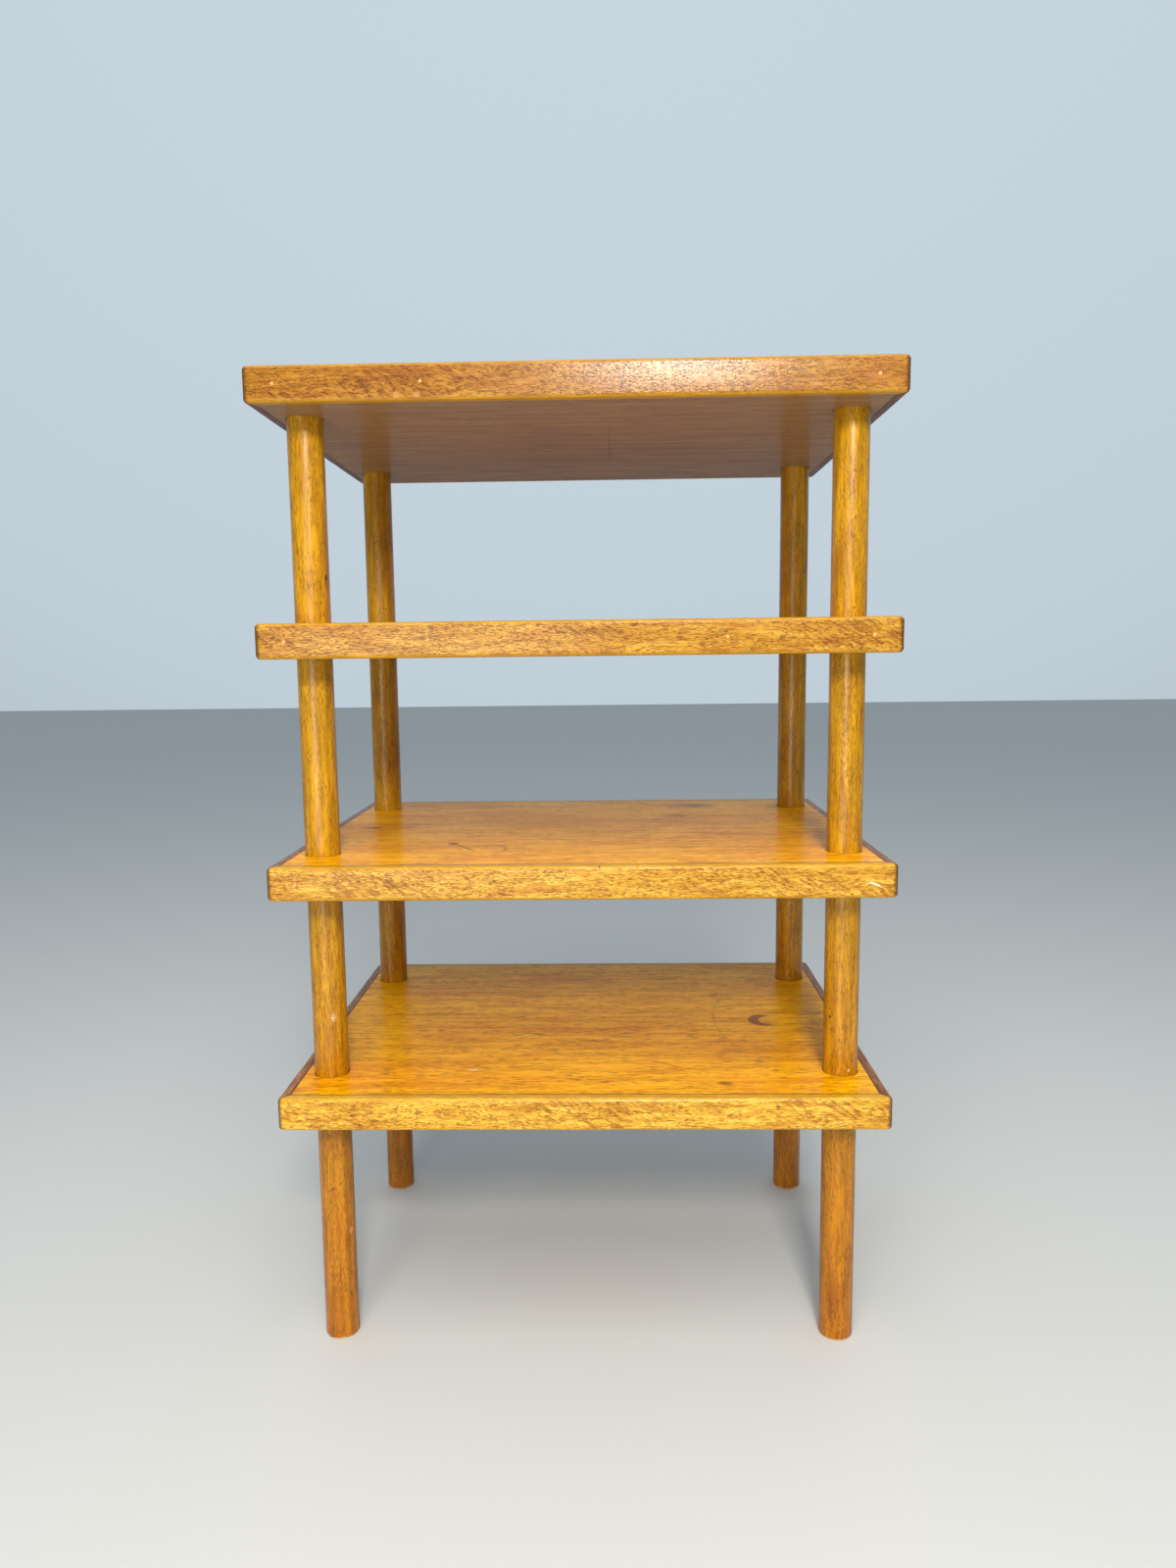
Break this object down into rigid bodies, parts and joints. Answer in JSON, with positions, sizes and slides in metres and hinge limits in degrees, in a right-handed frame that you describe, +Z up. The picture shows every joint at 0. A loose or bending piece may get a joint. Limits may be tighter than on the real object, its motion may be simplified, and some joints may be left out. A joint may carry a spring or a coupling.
{
  "type": "nail polish rack",
  "caption": "Small open display rack: flat lipped wooden shelves, one above another, glued on round corner posts that also are its feet, in honey amber varnish.",
  "frame": {"origin": "on the floor, under the middle of the shelves", "axes": "+Z up, -Y the front, +X to the right seen from the front"},
  "size_m": [0.343, 0.26, 0.56],
  "materials": {
    "board_face": "veneered board, grain left to right, clear varnish gone amber, soft gloss",
    "lipping_wood": "solid strip, fine flecked grain, clear varnish gone amber, worn darker along the edges",
    "post_dowel": "turned dowel, straight grain, glossy amber varnish",
    "brad_steel": "bright steel brads, out of sight",
    "wood_putty": "dried wood putty, matt and paler than the wood"
  },
  "bodies": {
    "root": {"shelf_1_core": "board_face", "shelf_1_lipping_front": "lipping_wood", "shelf_1_lipping_right": "lipping_wood", "shelf_1_lipping_back": "lipping_wood", "shelf_1_lipping_left": "lipping_wood", "shelf_1_brads": "brad_steel", "shelf_1_putty": "wood_putty", "shelf_2_core": "board_face", "shelf_2_lipping_front": "lipping_wood", "shelf_2_lipping_right": "lipping_wood", "shelf_2_lipping_back": "lipping_wood", "shelf_2_lipping_left": "lipping_wood", "shelf_2_brads": "brad_steel", "shelf_2_putty": "wood_putty", "shelf_3_core": "board_face", "shelf_3_lipping_front": "lipping_wood", "shelf_3_lipping_right": "lipping_wood", "shelf_3_lipping_back": "lipping_wood", "shelf_3_lipping_left": "lipping_wood", "shelf_3_brads": "brad_steel", "shelf_3_putty": "wood_putty", "shelf_4_core": "board_face", "shelf_4_lipping_front": "lipping_wood", "shelf_4_lipping_right": "lipping_wood", "shelf_4_lipping_back": "lipping_wood", "shelf_4_lipping_left": "lipping_wood", "shelf_4_brads": "brad_steel", "shelf_4_putty": "wood_putty", "post_front_left": "post_dowel", "post_front_right": "post_dowel", "post_back_left": "post_dowel", "post_back_right": "post_dowel"}
  },
  "joints": []
}
